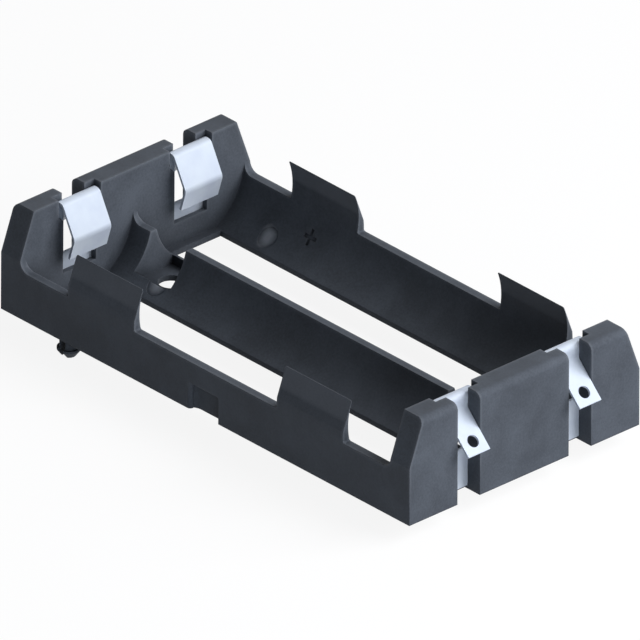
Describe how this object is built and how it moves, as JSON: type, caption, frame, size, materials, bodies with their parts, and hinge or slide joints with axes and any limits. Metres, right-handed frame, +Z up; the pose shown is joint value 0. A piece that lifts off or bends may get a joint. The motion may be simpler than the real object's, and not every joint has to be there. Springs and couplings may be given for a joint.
{
  "type": "cylindrical cell holder",
  "caption": "Open moulded holder for cylindrical cells side by side, with bent sheet spring contacts, solder lugs, screw holes and snap pegs.",
  "frame": {"origin": "middle of the line between the centres of the two screw holes, in the plane of the holder's underside", "axes": "+X along the cells, +Y across the holder from the near cell to the far one, +Z up and out of the open top"},
  "size_m": [0.08, 0.0392, 0.0172],
  "materials": {
    "moulded_plastic": "fine moulded grain",
    "contact_metal": "bright tin plated sheet"
  },
  "bodies": {
    "root": {"moulded_body": "moulded_plastic", "contact_left_near": "contact_metal", "contact_left_far": "contact_metal", "contact_right_near": "contact_metal", "contact_right_far": "contact_metal"}
  },
  "joints": []
}
